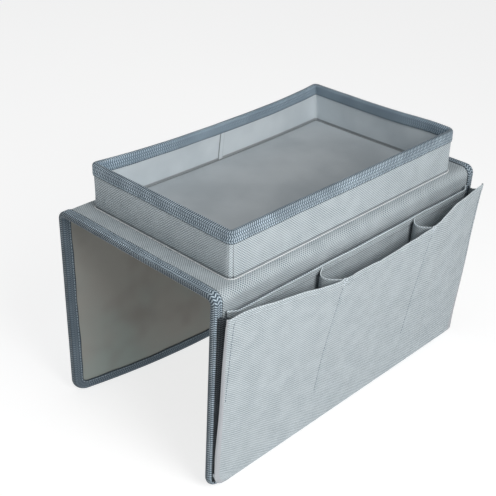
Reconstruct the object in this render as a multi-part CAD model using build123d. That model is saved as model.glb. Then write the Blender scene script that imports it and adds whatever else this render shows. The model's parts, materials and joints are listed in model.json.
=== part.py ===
from build123d import *
import os

# Sofa arm tray, in millimetres. The origin is the centre of the underside of the top panel,
# where it rests on the arm. +X runs along the arm, +Y points at the plain rear flap, +Z is up.

# Driving dimensions of the saddle: top panel and the two flaps
length = 350.0
width = 196.0
flap_height = 196.0
cover_thickness = 0.8
board_thickness = 2.4
lining_thickness = 0.8
fold_radius = 8.0
fold_clearance = 0.4
flap_corner_radius = 13.0
rear_bow = 21.0
front_lean_degrees = 1.8
layer_gap = 0.05
overrun = 10.0

# Edge binding of the saddle
binding_width = 10.0
binding_thickness = 0.8
binding_inner_radius = 4.0

# Tray
tray_end_margin = 27.0
tray_front_margin = 9.0
tray_rear_margin = 18.0
tray_height = 42.0
tray_corner_radius = 7.0
tray_cover_thickness = 0.8
tray_board_thickness = 2.0
tray_lining_thickness = 0.8
tray_floor_board_thickness = 2.4
tray_floor_clearance = 1.0
rim_binding_depth = 11.0
rim_binding_thickness = 0.8
welt_size = 1.2
seam_tape_width = 6.0
seam_tape_thickness = 0.5

# Pockets on the front flap. A stand-off is how far a sheet stands out from the flap's cover,
# and a drop is how far a place lies below the top of the top panel.
pocket_cloth = 1.0
pocket_clearance = 0.2
hem_width = 7.0
hem_thickness = 0.5
inner_pocket_drop = 16.0
inner_pocket_stand_off = 6.2
inner_pocket_side_inset = 13.0
inner_pocket_slope_width = 9.0
inner_pocket_foot_rise = 12.0
inner_pocket_closing_height = 64.0
pocket_side_inset = 1.0
pocket_foot_rise = 1.0
pocket_corner_radius = 5.0
pocket_foot_stand_off = 4.3
pocket_side_stand_off = 13.7
pocket_divider_stand_off = 29.0
pocket_edge_drop = 11.0
pocket_edge_sag = 16.0
divider_drop = 19.0
divider_bulge = 8.5
divider_cloth = 0.8
divider_foot_rise = 46.0
gusset_fold_in = 4.0
gusset_step_down = 6.0
bottom_seam_height = 5.0

# Along the front pocket: where its dividers stand, as shares of the length; how far it stands out
# half way along each compartment, as shares of the stand-off at the dividers; and how far its upper
# edge sags at its sides and dividers and half way between them, as shares of the sag
divider_place_shares = (-0.155, 0.21)
middle_stand_off_shares = (0.80, 0.88, 0.80)
station_sag_shares = (0.10, 0.375, 0.375, 0.06)
middle_sag_shares = (0.375, 1.0, 0.0)

# Places that follow from the sizes above
panel_thickness = cover_thickness + board_thickness + lining_thickness
top_z = panel_thickness
half_length = length / 2
half_width = width / 2
sheet_half_length = half_length - binding_thickness
fold_inner_radius = fold_radius - panel_thickness
hinge_y = half_width - fold_radius
hinge_z = top_z - fold_radius
flap_top_z = hinge_z - fold_clearance
flap_bottom_z = top_z - flap_height
sheet_bottom_z = flap_bottom_z + binding_thickness
tray_length = length - 2 * tray_end_margin
tray_depth = width - tray_front_margin - tray_rear_margin
tray_y = (tray_front_margin - tray_rear_margin) / 2
wall_thickness = tray_cover_thickness + tray_board_thickness + tray_lining_thickness
wall_top_z = top_z + tray_height - rim_binding_thickness
rim_top_z = top_z + tray_height
floor_z = top_z + tray_floor_board_thickness + tray_lining_thickness
along_x = (1, 0, 0)

nodes = {}


def block(x_range, y_range, z_range):
    """A box between two limits on each axis."""
    sizes = [high - low for low, high in (x_range, y_range, z_range)]
    centre = [(high + low) / 2 for low, high in (x_range, y_range, z_range)]
    return Pos(*centre) * Box(*sizes)


def both(reach):
    """Limits that lie evenly about zero."""
    return (-reach, reach)


# Top panel: three flat layers with a binding channel along each end, where it presses the lining thinner

def top_layer(z_low, z_high, reach=sheet_half_length):
    return block(both(reach), both(hinge_y), (z_low, z_high))


def end_channel(side):
    """Binding that grips one end of the top panel."""
    reach = sorted((side * (half_length - binding_width), side * half_length))
    slot = sorted((side * (half_length - binding_width - overrun), side * sheet_half_length))
    outside = block(reach, both(hinge_y), (-binding_thickness, top_z + binding_thickness))
    return outside - block(slot, both(half_width), (0, top_z))


pressed_lining = top_layer(layer_gap, lining_thickness)
free_lining = top_layer(0, lining_thickness, half_length - binding_width - layer_gap)
nodes["top_panel_lining"] = pressed_lining + free_lining
nodes["top_panel_board"] = top_layer(lining_thickness, lining_thickness + board_thickness)
nodes["top_panel_cover"] = top_layer(top_z - cover_thickness, top_z)
nodes["left_end_binding"] = end_channel(-1)
nodes["right_end_binding"] = end_channel(1)


# Folds: a quarter turn of cloth about each hinge line

def fold_arc(outward, r_low, r_high, x_range):
    """A quarter ring about the hinge line, from the top panel round to the flap."""
    x_low, x_high = x_range
    centre = Pos(x_low, outward * hinge_y, hinge_z)
    length_x = x_high - x_low
    outside, inside = [Cylinder(radius, length_x, rotation=(0, 90, 0)) for radius in (r_high, r_low)]
    ring = outside - inside
    ring = Pos(length_x / 2, 0, 0) * ring
    y_range = sorted((0, outward * (fold_radius + overrun)))
    quarter = block((0, length_x), y_range, (0, fold_radius + overrun))
    return centre * (ring & quarter)


def fold_channel(outward, side):
    """Binding that grips one end of a fold."""
    reach = sorted((side * (half_length - binding_width), side * half_length))
    slot = sorted((side * (half_length - binding_width - overrun), side * sheet_half_length))
    r_low, r_high = fold_inner_radius - binding_thickness, fold_radius + binding_thickness
    return fold_arc(outward, r_low, r_high, reach) - fold_arc(outward, fold_inner_radius, fold_radius, slot)


for name, outward in (("front", -1), ("rear", 1)):
    reach = both(sheet_half_length)
    lining_outside = fold_inner_radius + lining_thickness
    nodes[name + "_fold_cover"] = fold_arc(outward, fold_radius - cover_thickness, fold_radius, reach)
    nodes[name + "_fold_lining"] = fold_arc(outward, fold_inner_radius, lining_outside, reach)
    nodes[name + "_fold_binding"] = Compound([fold_channel(outward, side) for side in (-1, 1)])


# Flaps: three layers that hang from the fold, with a binding round their free edges

def flap_sheet(outward, depth_low, depth_high, bow):
    """A hanging sheet between two depths below the flap's outer face, bowed inward at its foot.
    It runs past the flap's ends and foot, along the same curve, to be cut to its outline."""
    y_outer = outward * (half_width - depth_low)
    y_inner = outward * (half_width - depth_high)
    reach = half_length + overrun
    low_z = flap_bottom_z - overrun
    if not bow:
        return block(both(reach), sorted((y_outer, y_inner)), (low_z, flap_top_z))
    low_bow = bow * (flap_top_z - low_z) / (flap_top_z - flap_bottom_z)
    radius = (half_length**2 + low_bow**2) / (2 * low_bow)
    end_bow = low_bow - radius + (radius**2 - reach**2) ** 0.5
    sections = []
    for z, bow_here, end_bow_here in ((flap_top_z, 0, 0), (low_z, low_bow, end_bow)):
        edges = []
        for y, other_y, way in ((y_outer, y_inner, 1), (y_inner, y_outer, -1)):
            end_y = y - outward * end_bow_here
            start, end = (-way * reach, end_y, z), (way * reach, end_y, z)
            middle = (0, y - outward * bow_here, z)
            edges.append(ThreePointArc(start, middle, end) if bow_here else Line(start, end))
            edges.append(Line(end, (end[0], other_y - outward * end_bow_here, z)))
        sections.append(Wire([edge.edge() for edge in edges]))
    return Solid.make_loft(sections, ruled=True)


def flap_outline(reach, bottom_z, radius):
    """A plate through the whole flap, with its two lower corners rounded."""
    plate = block(both(reach), both(width), (bottom_z, top_z))
    lower = plate.edges().filter_by(Axis.Y).group_by(Axis.Z)[0]
    return fillet(lower, radius)


def flap_layers(name, outward, bow):
    gap = layer_gap if bow else 0
    inside = flap_outline(sheet_half_length, sheet_bottom_z, flap_corner_radius - binding_thickness)
    outside = flap_outline(half_length, flap_bottom_z, flap_corner_radius)
    window = flap_outline(half_length - binding_width, flap_bottom_z + binding_width, binding_inner_radius)
    board_depth = cover_thickness + board_thickness
    cover = flap_sheet(outward, 0, cover_thickness, bow) & inside
    board = flap_sheet(outward, cover_thickness + gap, board_depth - gap, bow) & inside
    lining = flap_sheet(outward, board_depth, panel_thickness, bow) & inside
    grip = flap_sheet(outward, -gap, panel_thickness + gap, bow) & inside
    tape = flap_sheet(outward, -binding_thickness - gap, panel_thickness + binding_thickness + gap, bow)
    return {
        name + "_flap_cover": cover,
        name + "_flap_board": board,
        name + "_flap_lining": lining,
        name + "_flap_binding": (tape & outside) - window - grip,
    }


nodes.update(flap_layers("rear", 1, rear_bow))
front = flap_layers("front", -1, 0)


# Pockets on the front flap, drawn as if the flap hung straight down

def shifted(points, x_shift, outward_shift):
    """The same (x, stand-off) points, moved."""
    return [(x + x_shift, stand_off + outward_shift) for x, stand_off in points]


def sheet_faces(points, mids, shift):
    """Both faces of a thin sheet: its points and the bends between them, and the same moved."""
    return (points, mids), (shifted(points, *shift), mids and shifted(mids, *shift))


def ribbon_section(drop, faces):
    """A closed outline at one height round two faces, joined by lines at their ends."""
    (near_points, near_mids), (far_points, far_mids) = faces

    def place(point):
        return (point[0], -(half_width + point[1]), top_z - drop)

    edges = []
    for points, mids in ((near_points, near_mids), (far_points[::-1], far_mids and far_mids[::-1])):
        bends = mids or [None] * (len(points) - 1)
        for start, bend, end in zip(points, bends, points[1:]):
            if bend:
                edges.append(ThreePointArc(place(start), place(bend), place(end)))
            else:
                edges.append(Line(place(start), place(end)))
        other_end = far_points[-1] if points is near_points else near_points[0]
        edges.append(Line(place(points[-1]), place(other_end)))
    return Wire([edge.edge() for edge in edges])


def ribbon(sections):
    """A thin sheet ruled through (drop, faces) sections."""
    return Solid.make_loft([ribbon_section(drop, faces) for drop, faces in sections], ruled=True)


# Inner pocket: one sheet that stands off the flap and is sewn down at its sides and foot

inner_foot_drop = flap_height - inner_pocket_foot_rise
inner_slack_drop = inner_foot_drop - inner_pocket_closing_height


def inner_pocket_sheet(extra, thickness):
    """The inner pocket's cloth from its sewn foot to its mouth; extra moves it outwards."""
    reach = half_length - inner_pocket_side_inset
    flat = reach - inner_pocket_slope_width
    sewn = binding_thickness + pocket_clearance + extra

    def faces(stand_off):
        points = [(-reach, sewn), (-flat, stand_off + extra), (flat, stand_off + extra), (reach, sewn)]
        return sheet_faces(points, None, (0, thickness))

    slack = faces(inner_pocket_stand_off - pocket_cloth)
    closed = faces(binding_thickness + 2 * pocket_clearance)
    return ribbon([(inner_foot_drop, closed), (inner_slack_drop, slack), (inner_pocket_drop, slack)])


def hem_band(top_drop, depth):
    z_top = top_z - top_drop
    return block(both(half_length), (-width, 0), (z_top - depth, z_top))


front["inner_pocket_panel"] = inner_pocket_sheet(0, pocket_cloth)
inner_hem = inner_pocket_sheet(pocket_cloth + layer_gap, hem_thickness)
front["inner_pocket_hem"] = inner_hem & hem_band(inner_pocket_drop, hem_width)


# Front pocket: one sheet that bellies out between its sides and its two dividers

pocket_reach = half_length - pocket_side_inset
pocket_foot_drop = flap_height - pocket_foot_rise
divider_left_x, divider_right_x = [share * length for share in divider_place_shares]
station_x = (-pocket_reach, divider_left_x, divider_right_x, pocket_reach)
middle_x = [(low + high) / 2 for low, high in zip(station_x, station_x[1:])]
station_stand_offs = (pocket_side_stand_off, pocket_divider_stand_off,
                      pocket_divider_stand_off, pocket_side_stand_off)


def pocket_sheet(extra, thickness):
    """The front pocket's cloth up to the level of the top panel; extra moves it outwards."""
    foot = pocket_foot_stand_off - pocket_cloth + extra
    stations = [stand_off - pocket_cloth + extra for stand_off in station_stand_offs]
    middle_stand_offs = [share * pocket_divider_stand_off for share in middle_stand_off_shares]
    middles = [stand_off - pocket_cloth + extra for stand_off in middle_stand_offs]
    straight = sheet_faces([(x, foot) for x in station_x], None, (0, thickness))
    bellied = sheet_faces(list(zip(station_x, stations)), list(zip(middle_x, middles)), (0, thickness))
    return ribbon([(pocket_foot_drop, straight), (0, bellied)])


def below_pocket_edge(lowered):
    """The space under the pocket's sagging upper edge, lowered by a distance."""
    def place(x, sag_share):
        return (x, 0, top_z - pocket_edge_drop - sag_share * pocket_edge_sag - lowered)

    stations = [place(*pair) for pair in zip(station_x, station_sag_shares)]
    middles = [place(*pair) for pair in zip(middle_x, middle_sag_shares)]
    edges = [ThreePointArc(*arc) for arc in zip(stations, middles, stations[1:])]
    feet = [(side * pocket_reach, 0, flap_bottom_z) for side in (1, -1)]
    corners = [stations[-1], *feet, stations[0]]
    edges += [Line(start, end) for start, end in zip(corners, corners[1:])]
    outline = Face(Wire([edge.edge() for edge in edges]))
    return extrude(outline, amount=width, dir=(0, -1, 0))


pocket_outline = flap_outline(pocket_reach, top_z - pocket_foot_drop, pocket_corner_radius)
front["front_pocket_panel"] = pocket_sheet(0, pocket_cloth) & below_pocket_edge(0) & pocket_outline
hem_strip = pocket_sheet(pocket_cloth + layer_gap, hem_thickness)
front["front_pocket_hem"] = (hem_strip & below_pocket_edge(0)) - below_pocket_edge(hem_width)


# Dividers: slack webs from the inner pocket to the front pocket

def panel_face_at(stand_off, drop):
    """Just inside the front pocket's inner face at a drop, where its stand-off at the top is given."""
    share = 1 - drop / pocket_foot_drop
    reach = pocket_foot_stand_off + (stand_off - pocket_foot_stand_off) * share
    return reach - pocket_cloth - pocket_clearance


def inner_face_at(drop):
    """Just outside the inner pocket's outer face at a drop."""
    sewn = binding_thickness + 2 * pocket_clearance + pocket_cloth
    slack = min(1, (inner_foot_drop - drop) / inner_pocket_closing_height)
    return sewn + (inner_pocket_stand_off - sewn) * slack + hem_thickness + pocket_clearance


def divider(x):
    """A web that bulges sideways, most at its mouth."""
    depth_at_mouth = panel_face_at(pocket_divider_stand_off, divider_drop) - inner_face_at(divider_drop)
    sections = []
    for drop in (pocket_foot_drop - divider_foot_rise, inner_slack_drop, divider_drop):
        near = inner_face_at(drop)
        far = panel_face_at(pocket_divider_stand_off, drop)
        bulge = divider_bulge * (far - near) / depth_at_mouth
        middle = (near + far) / 2
        outside = [(x, near), (x, far)], [(x - bulge, middle)]
        inside_bend = (x - bulge + divider_cloth, middle)
        inside = [(x, near + divider_cloth), (x, far - divider_cloth)], [inside_bend]
        sections.append((drop, (outside, inside)))
    return ribbon(sections)


front["left_pocket_divider"] = divider(divider_left_x)
front["right_pocket_divider"] = divider(divider_right_x)


# Gussets: the pocket's sides, folded in a little, and the seam that closes its foot

def gusset(side):
    x = side * (pocket_reach - pocket_cloth)
    near = binding_thickness + pocket_clearance
    depth_at_mouth = panel_face_at(pocket_side_stand_off, pocket_edge_drop) - near
    sections = []
    for drop in (pocket_foot_drop - bottom_seam_height, pocket_edge_drop + gusset_step_down):
        far = panel_face_at(pocket_side_stand_off, drop)
        bend = (x - side * gusset_fold_in * (far - near) / depth_at_mouth, (near + far) / 2)
        sections.append((drop, sheet_faces([(x, near), (x, far)], [bend], (side * pocket_cloth, 0))))
    return ribbon(sections)


front["left_pocket_gusset"] = gusset(-1)
front["right_pocket_gusset"] = gusset(1)
seam_far = half_width + pocket_foot_stand_off - pocket_cloth
seam_near = half_width + binding_thickness
seam_low_z = top_z - pocket_foot_drop
front["pocket_bottom_seam"] = block(both(pocket_reach - flap_corner_radius), (-seam_far, -seam_near),
                                    (seam_low_z, seam_low_z + bottom_seam_height))

hinge_line = Axis((0, -hinge_y, hinge_z), along_x)
for name, solid in front.items():
    nodes[name] = solid.rotate(hinge_line, front_lean_degrees)


# Tray: a floor and four boards between an outer cover and a lining

def tray_prism(inset, z_low, z_high):
    """The tray's rounded outline, moved in by an inset, between two heights."""
    outline = RectangleRounded(tray_length - 2 * inset, tray_depth - 2 * inset, tray_corner_radius - inset)
    return Pos(0, tray_y, z_low) * extrude(outline, amount=z_high - z_low)


def tray_ring(inset_low, inset_high, z_low, z_high):
    return tray_prism(inset_low, z_low, z_high) - tray_prism(inset_high, z_low, z_high)


board_inset = tray_cover_thickness + tray_board_thickness
floor_inset = wall_thickness + tray_floor_clearance
floor_board_top_z = top_z + tray_floor_board_thickness
nodes["tray_floor_board"] = tray_prism(floor_inset, top_z, floor_board_top_z)
nodes["tray_floor_lining"] = tray_prism(floor_inset, floor_board_top_z, floor_z)
nodes["tray_outer_cover"] = tray_ring(0, tray_cover_thickness, top_z, wall_top_z)
nodes["tray_wall_lining"] = tray_ring(board_inset, wall_thickness, top_z, wall_top_z)

long_reach = tray_length / 2 - tray_corner_radius
short_reach = tray_depth / 2 - tray_corner_radius
for name, side in (("front", -1), ("rear", 1)):
    faces = [tray_y + side * (tray_depth / 2 - inset) for inset in (tray_cover_thickness, board_inset)]
    nodes["tray_" + name + "_board"] = block(both(long_reach), sorted(faces), (top_z, wall_top_z))
for name, side in (("left", -1), ("right", 1)):
    faces = [side * (tray_length / 2 - inset) for inset in (tray_cover_thickness, board_inset)]
    y_range = (tray_y - short_reach, tray_y + short_reach)
    nodes["tray_" + name + "_board"] = block(sorted(faces), y_range, (top_z, wall_top_z))

rim_low_z = rim_top_z - rim_binding_depth
rim_inset = wall_thickness + rim_binding_thickness
rim_outside = tray_ring(-rim_binding_thickness, rim_inset, rim_low_z, rim_top_z)
nodes["tray_rim_binding"] = rim_outside - tray_ring(0, wall_thickness, rim_low_z, wall_top_z)
nodes["tray_base_welt"] = tray_ring(-welt_size, 0, top_z, top_z + welt_size)
lining_face_y = tray_y + tray_depth / 2 - wall_thickness
seam_y_range = (lining_face_y - seam_tape_thickness, lining_face_y)
nodes["tray_lining_seam_tape"] = block(both(seam_tape_width / 2), seam_y_range, (top_z, rim_low_z))

os.makedirs("parts", exist_ok=True)
for name, solid in nodes.items():
    export_step(solid, "parts/" + name + ".step")
    print(name, [round(value, 1) for value in solid.bounding_box().size])
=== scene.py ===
import json
import math
import bpy
import numpy as np
from mathutils import Matrix, Vector


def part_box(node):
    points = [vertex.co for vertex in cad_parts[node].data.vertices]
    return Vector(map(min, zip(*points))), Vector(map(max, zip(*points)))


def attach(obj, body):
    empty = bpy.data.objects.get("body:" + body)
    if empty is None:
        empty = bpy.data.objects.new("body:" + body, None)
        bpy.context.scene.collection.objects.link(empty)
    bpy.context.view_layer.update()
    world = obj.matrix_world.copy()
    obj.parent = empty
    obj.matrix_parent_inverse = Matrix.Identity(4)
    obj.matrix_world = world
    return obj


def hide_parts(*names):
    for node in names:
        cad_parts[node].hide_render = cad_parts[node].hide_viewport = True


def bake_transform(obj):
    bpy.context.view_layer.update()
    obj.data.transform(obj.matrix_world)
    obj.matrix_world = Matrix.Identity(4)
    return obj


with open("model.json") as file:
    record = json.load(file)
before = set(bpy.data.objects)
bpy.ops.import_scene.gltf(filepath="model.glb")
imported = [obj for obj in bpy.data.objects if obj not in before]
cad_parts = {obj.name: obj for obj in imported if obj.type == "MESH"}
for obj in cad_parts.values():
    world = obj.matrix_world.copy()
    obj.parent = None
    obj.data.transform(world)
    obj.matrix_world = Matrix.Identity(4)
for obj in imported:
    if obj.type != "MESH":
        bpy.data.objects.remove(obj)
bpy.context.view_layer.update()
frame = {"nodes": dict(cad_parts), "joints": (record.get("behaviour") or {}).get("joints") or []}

# Lengths are in millimetres up to the last step of each piece, which works in metres.
mm = 0.001


def boxOf(node):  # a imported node's lowest and highest corner
    low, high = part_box(node)
    return low / mm, high / mm


hinges = {joint["name"]: [value / mm for value in joint["pos_m"]] for joint in frame["joints"]}
coverHigh = boxOf("top_panel_cover")[1]
saddle = {
    "topZ": coverHigh.z,
    "undersideZ": boxOf("top_panel_lining")[0].z,
    "hingeY": hinges["rear_flap_fold"][1],
    "hingeZ": hinges["rear_flap_fold"][2],
    "halfLength": boxOf("right_end_binding")[1].x,
    "sheetHalf": coverHigh.x,
    "footZ": boxOf("rear_flap_binding")[0].z,
    "cornerRadius": 14.2,
    "cloth": 0.8,
    "bowTopZ": -4.4,            # the rear flap bows inward below this height
    "bow": 21.0,                # at the middle of its foot
    "bowOverrun": 10.0,
    "lean": {-1: math.radians(1.8), 1: 0.0},
}
saddle["middleZ"] = (saddle["topZ"] + saddle["undersideZ"]) / 2
saddle["halfThickness"] = saddle["topZ"] - saddle["middleZ"]
saddle["foldRadius"] = saddle["middleZ"] - saddle["hingeZ"]


# Laying flat cloth over the saddle. Side is -1 for the front flap and 1 for the rear one. Run is how far
# a place lies from the panel's middle line, over the fold and down the flap, and height is how far it
# stands off the middle layer.

def foldRun(side):  # the run at which the fold ends
    return saddle["hingeY"] + saddle["foldRadius"] * (math.pi / 2 + saddle["lean"][side])


def footRun(side):
    return foldRun(side) + saddle["hingeZ"] - saddle["footZ"]


def bowAt(x, z):  # how far the rear flap lies inward of a flat one
    lowZ = saddle["footZ"] - saddle["bowOverrun"]
    reach = saddle["bowTopZ"] - lowZ
    lowBow = saddle["bow"] * reach / (saddle["bowTopZ"] - saddle["footZ"])
    radius = (saddle["halfLength"] ** 2 + lowBow ** 2) / (2 * lowBow)
    across = lowBow - radius + np.sqrt(radius ** 2 - np.asarray(x) ** 2)
    return across * np.clip(saddle["bowTopZ"] - z, 0, None) / reach


def drape(side, x, run, height):
    turn = math.pi / 2 + saddle["lean"][side]
    past = np.clip(run - saddle["hingeY"], 0, foldRun(side) - saddle["hingeY"])
    angle = past / saddle["foldRadius"]
    down = np.clip(run - foldRun(side), 0, None)
    radius = saddle["foldRadius"] + height
    y = np.minimum(run, saddle["hingeY"]) + radius * np.sin(angle) + down * math.cos(turn)
    z = saddle["hingeZ"] + radius * np.cos(angle) - down * math.sin(turn)
    if side > 0:
        y = y - bowAt(x, z)
    return np.broadcast_arrays(x, side * y, z)


def steps(stops, counts):  # evenly spaced places between each two stops
    parts = [np.linspace(low, high, count, endpoint=False)
             for low, high, count in zip(stops, stops[1:], counts)]
    return np.concatenate(parts + [[stops[-1]]])


def waves(a, b, rows):  # a sum of long waves over a piece: (height, length along a, length along b, start)
    total = np.zeros(np.broadcast(a, b).shape)
    for height, alongA, alongB, start in rows:
        total = total + height * np.sin(2 * math.pi * (a / alongA + b / alongB) + start)
    return total


def profile(x, points, soft):  # a line through points, its corners softened over a length
    stops, values = zip(*points)
    moves = np.linspace(-soft, soft, 9)
    weights = hill(moves, 0, soft * 0.7)
    blurred = sum(weight * np.interp(x + move, stops, values) for weight, move in zip(weights, moves))
    return blurred / weights.sum()


def between(first, last, share):
    return first + (last - first) * share


def hill(value, centre, width):  # a smooth bump of height one
    return np.exp(-((value - centre) / width) ** 2)


def ease(value):  # from 0 to 1 with level ends
    share = np.clip(value, 0, 1)
    return share * share * (3 - 2 * share)


def cornered(half, radius, into):  # half a piece's width, this far into a rounded corner
    into = np.clip(into, 0, radius)
    return half - radius + np.sqrt(np.clip(radius ** 2 - into ** 2, 0, None))


def squeezed(x, inner, reach, full):  # what lies beyond inner is drawn in or out, so that full comes to reach
    past = np.clip(np.abs(x) - inner, 0, None) * (reach - inner) / (full - inner)
    return np.sign(x) * (np.minimum(np.abs(x), inner) + past)


# Making a piece: a grid laid flat, its points moved, thickened and smoothed

def pick(piece):
    bpy.ops.object.select_all(action="DESELECT")
    piece.select_set(True)
    bpy.context.view_layer.objects.active = piece


def smooth(piece, angle=40):
    pick(piece)
    bpy.ops.object.shade_smooth_by_angle(angle=math.radians(angle))


def thicken(piece, thickness):
    pick(piece)
    solid = piece.modifiers.new("Solidify", "SOLIDIFY")
    solid.thickness = thickness * mm
    solid.offset = -1
    solid.use_even_offset = True
    bpy.ops.object.modifier_apply(modifier=solid.name)
    smooth(piece)


def layGrid(name, across, along, shape, facing, cloth=None, thickness=None, closed=False):
    # facing is the way that the first face looks once its normals point out of the piece
    bpy.ops.object.select_all(action="DESELECT")
    bpy.ops.mesh.primitive_grid_add(x_subdivisions=len(across) - 1, y_subdivisions=len(along) - 1, size=1)
    piece = bpy.context.object
    piece.name = piece.data.name = name
    a, b = [values.ravel() for values in np.meshgrid(across, along)]
    places = np.stack(np.broadcast_arrays(*shape(a, b)), axis=1) * mm
    piece.data.vertices.foreach_set("co", places.ravel())
    u, v = cloth(a, b) if cloth else (a, b)
    corner = np.empty(len(piece.data.loops), dtype=int)
    piece.data.loops.foreach_get("vertex_index", corner)
    layer = piece.data.uv_layers[0]
    layer.name = "clothMap"
    layer.data.foreach_set("uv", (np.stack([u[corner], v[corner]], axis=1) * mm).ravel())
    piece.data.update()
    bpy.ops.object.mode_set(mode="EDIT")
    bpy.ops.mesh.select_all(action="SELECT")
    if closed:
        bpy.ops.mesh.remove_doubles(threshold=0.00002)
    if piece.data.polygons[0].normal.dot(Vector(facing)) < 0:
        bpy.ops.mesh.flip_normals()
    bpy.ops.object.mode_set(mode="OBJECT")
    if thickness:
        thicken(piece, thickness)
    return piece


def dress(piece, finish, slot, *nodes, body=None):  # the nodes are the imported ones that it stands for
    piece.data.materials.clear()
    piece.data.materials.append(finishes[finish])
    if nodes:
        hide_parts(*nodes)
    if body:
        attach(piece, body)


def clothSize(piece):  # the size that the piece was cut to, from its own cloth map, in metres
    uv = np.empty(len(piece.data.loops) * 2)
    piece.data.uv_layers["clothMap"].data.foreach_get("uv", uv)
    uv = uv.reshape(-1, 2)
    return tuple(float(size) for size in uv.max(0) - uv.min(0))


# Materials. A Signal is a value on its way through a material's nodes, and takes ordinary arithmetic.

class Signal:
    def __init__(self, finish, socket):
        self.finish = finish
        self.socket = socket

    def maths(self, operation, *others):
        return self.finish.add("ShaderNodeMath", {"operation": operation}, dict(enumerate((self, *others))))

    def __add__(self, other):
        return self.maths("ADD", other)

    def __sub__(self, other):
        return self.maths("SUBTRACT", other)

    def __rsub__(self, other):
        return self.finish.add("ShaderNodeMath", {"operation": "SUBTRACT"}, {0: other, 1: self})

    def __mul__(self, other):
        return self.maths("MULTIPLY", other)

    def __truediv__(self, other):
        return self.maths("DIVIDE", other)

    def __pow__(self, other):
        return self.maths("POWER", other)

    __radd__ = __add__
    __rmul__ = __mul__


class Finish:
    def __init__(self, name, **constants):
        self.material = bpy.data.materials.new(name)
        self.material.use_nodes = True
        self.tree = self.material.node_tree
        self.surface = self.tree.nodes["Principled BSDF"]
        for socket, value in constants.items():
            self.surface.inputs[socket.replace("_", " ")].default_value = value

    def add(self, kind, settings, sockets, output=0):
        node = self.tree.nodes.new(kind)
        for key, value in settings.items():
            setattr(node, key, value)
        for key, value in sockets.items():
            self.feed(node.inputs[key], value)
        return Signal(self, node.outputs[output])

    def feed(self, socket, value):
        if isinstance(value, Signal):
            self.tree.links.new(value.socket, socket)
        else:
            socket.default_value = value

    def place(self):  # the cloth's own place, in metres
        uv = self.add("ShaderNodeUVMap", {"uv_map": "clothMap"}, {})
        parts = [self.add("ShaderNodeSeparateXYZ", {}, {0: uv}, output) for output in (0, 1)]
        return uv, *parts

    def noise(self, where, scale, detail=2.0, roughness=0.5):
        return self.add("ShaderNodeTexNoise", {}, {"Vector": where, "Scale": scale, "Detail": detail,
                                                   "Roughness": roughness})

    def spread(self, value, low, high, newLow=0.0, newHigh=1.0, curve="SMOOTHSTEP"):
        return self.add("ShaderNodeMapRange", {"interpolation_type": curve},
                        {0: value, 1: low, 2: high, 3: newLow, 4: newHigh})

    def mixed(self, factor, first, second, way="MIX"):
        return self.add("ShaderNodeMix", {"data_type": "RGBA", "blend_type": way},
                        {0: factor, 6: first, 7: second}, 2)

    def shaded(self, color, value):  # a colour made lighter or darker by a number round one
        grey = self.add("ShaderNodeCombineColor", {}, {0: value, 1: value, 2: value})
        return self.mixed(1.0, color, grey, "MULTIPLY")

    def ovals(self, u, v, pitch, size, offset=0.0):  # small soft ovals in rows, every other row moved on
        row = v / pitch[1]
        shift = row.maths("FLOOR").maths("FLOORED_MODULO", 2.0) * offset
        x = ((u / pitch[0] + shift).maths("FRACT") - 0.5) * (pitch[0] / size[0])
        y = (row.maths("FRACT") - 0.5) * (pitch[1] / size[1])
        return self.spread(x * x + y * y, 1.5, 0.2)

    def lines(self, v, rows):  # lighter or darker lines over a piece: (place, half width, amount) in mm
        total = 0.0
        for place, half, amount in rows:
            apart = (v - place * mm).maths("ABSOLUTE")
            total = total + self.spread(apart, half * 1.3 * mm, half * 0.5 * mm) * amount
        return total

    def ribs(self, along, pitch):  # threads side by side, from 0 in the groove to 1 on the crown
        return (along * (2 * math.pi / pitch)).maths("SINE") * 0.5 + 0.5

    def done(self, color, roughness, height, depth):
        self.feed(self.surface.inputs["Base Color"], color)
        self.feed(self.surface.inputs["Roughness"], roughness)
        bump = self.add("ShaderNodeBump", {}, {"Strength": 1.0, "Distance": depth * mm, "Height": height})
        self.feed(self.surface.inputs["Normal"], bump)
        return self.material


def tone(red, green, blue):  # a colour as a screen shows it, from 0 to 255
    def linear(value):
        share = value / 255
        return share / 12.92 if share <= 0.04045 else ((share + 0.055) / 1.055) ** 2.4
    return (linear(red), linear(green), linear(blue), 1.0)


coverLook = {
    "thread": tone(203, 212, 216),
    "dash": tone(106, 121, 131),
    "pitch": (0.0026, 0.00109),    # from dark yarn to dark yarn in a row, and from row to row
    "dashSize": (0.00088, 0.00050),
    "threadPitch": 0.000545,
    "back": tone(178, 180, 185),
    "lipFoot": 0.184,              # how far down the cloth its plain back shows most
    "lipTaper": 0.03,
}


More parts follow.
